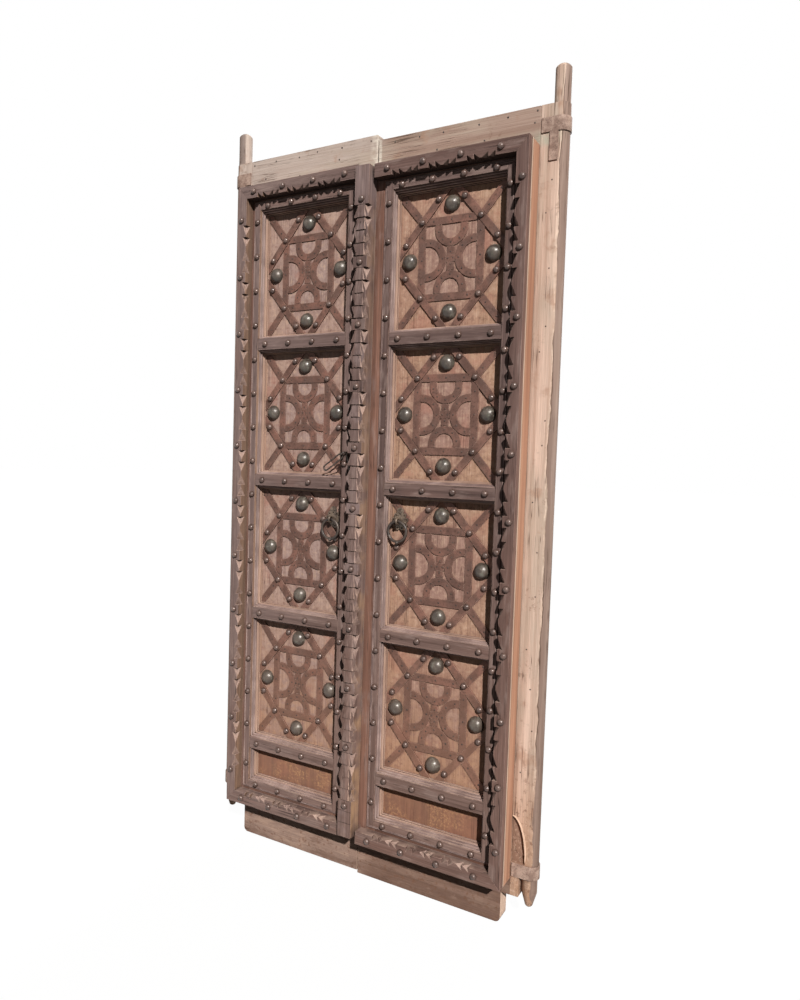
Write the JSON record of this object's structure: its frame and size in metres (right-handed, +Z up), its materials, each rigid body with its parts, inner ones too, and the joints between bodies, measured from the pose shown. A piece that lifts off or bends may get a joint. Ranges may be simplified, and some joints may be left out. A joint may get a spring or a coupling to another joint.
{
  "type": "carved double door",
  "caption": "Old two-leaf temple door of studded and chip-carved wood: panels with iron strapwork and bosses, ring handles, a hasp, and wooden pivot pins that turn in sockets",
  "frame": {"origin": "on the left leaf's pivot axis, in the middle of its bottom pin", "axes": "Z up along the pivots, X from the left pivot to the right one, -Y out of the carved front"},
  "size_m": [1.0618, 0.1625, 2.205],
  "materials": {
    "frame_wood": "dark weathered, matt",
    "panel_wood": "sun-bleached tan, matt",
    "pale_wood": "bare weathered, matt",
    "strap_iron": "rust-brown patina",
    "dark_iron": "dark, worn bright on top",
    "boss_bronze": "green-grey patina",
    "handle_brass": "dark, old"
  },
  "bodies": {
    "left_leaf": {"left_pivot_stile": "pale_wood", "left_back_top_rail": "pale_wood", "left_back_bottom_rail": "pale_wood", "left_back_planks": "pale_wood", "left_back_ledges": "pale_wood", "left_hinge_stile": "frame_wood", "left_meeting_stile": "frame_wood", "left_top_rail": "frame_wood", "left_cross_rail_1": "frame_wood", "left_cross_rail_2": "frame_wood", "left_cross_rail_3": "frame_wood", "left_cross_rail_4": "frame_wood", "left_bottom_rail": "frame_wood", "left_carved_stile": "frame_wood", "left_carved_top_rail": "frame_wood", "left_carved_bottom_rail": "frame_wood", "left_panel_1": "panel_wood", "left_panel_2": "panel_wood", "left_panel_3": "panel_wood", "left_panel_4": "panel_wood", "left_sill_panel": "panel_wood", "left_strapwork": "strap_iron", "left_bosses": "boss_bronze", "left_studs": "dark_iron", "left_pivot_bands": "dark_iron", "left_handle_plate": "handle_brass", "left_handle_eye": "handle_brass", "meeting_bead": "frame_wood", "hasp_staple": "dark_iron"},
    "right_leaf": {"right_pivot_stile": "pale_wood", "right_back_top_rail": "pale_wood", "right_back_bottom_rail": "pale_wood", "right_back_planks": "pale_wood", "right_back_ledges": "pale_wood", "right_hinge_stile": "frame_wood", "right_meeting_stile": "frame_wood", "right_top_rail": "frame_wood", "right_cross_rail_1": "frame_wood", "right_cross_rail_2": "frame_wood", "right_cross_rail_3": "frame_wood", "right_cross_rail_4": "frame_wood", "right_bottom_rail": "frame_wood", "right_carved_stile": "frame_wood", "right_carved_top_rail": "frame_wood", "right_carved_bottom_rail": "frame_wood", "right_panel_1": "panel_wood", "right_panel_2": "panel_wood", "right_panel_3": "panel_wood", "right_panel_4": "panel_wood", "right_sill_panel": "panel_wood", "right_strapwork": "strap_iron", "right_bosses": "boss_bronze", "right_studs": "dark_iron", "right_pivot_bands": "dark_iron", "right_handle_plate": "handle_brass", "right_handle_eye": "handle_brass"},
    "left_ring": {"left_handle_ring": "handle_brass"},
    "right_ring": {"right_handle_ring": "handle_brass"},
    "hasp": {"hasp_link": "dark_iron"}
  },
  "joints": [
    {"name": "right_leaf_swing", "type": "hinge", "parent": "left_leaf", "child": "right_leaf", "pos_m": [1.012, 0, 0], "axis": [0, 0, -1], "range_deg": [0, 100]},
    {"name": "left_ring_swing", "type": "hinge", "parent": "left_leaf", "child": "left_ring", "pos_m": [0.39776, -0.0613, 0.9065], "axis": [-1, 0, 0], "range_deg": [0, 110]},
    {"name": "right_ring_swing", "type": "hinge", "parent": "right_leaf", "child": "right_ring", "pos_m": [0.61824, -0.0613, 0.9155], "axis": [-1, 0, 0], "range_deg": [0, 110]},
    {"name": "hasp_swing", "type": "hinge", "parent": "left_leaf", "child": "hasp", "pos_m": [0.44195, -0.0815, 1.08907], "axis": [0, 1, 0], "range_deg": [0, 60]}
  ]
}
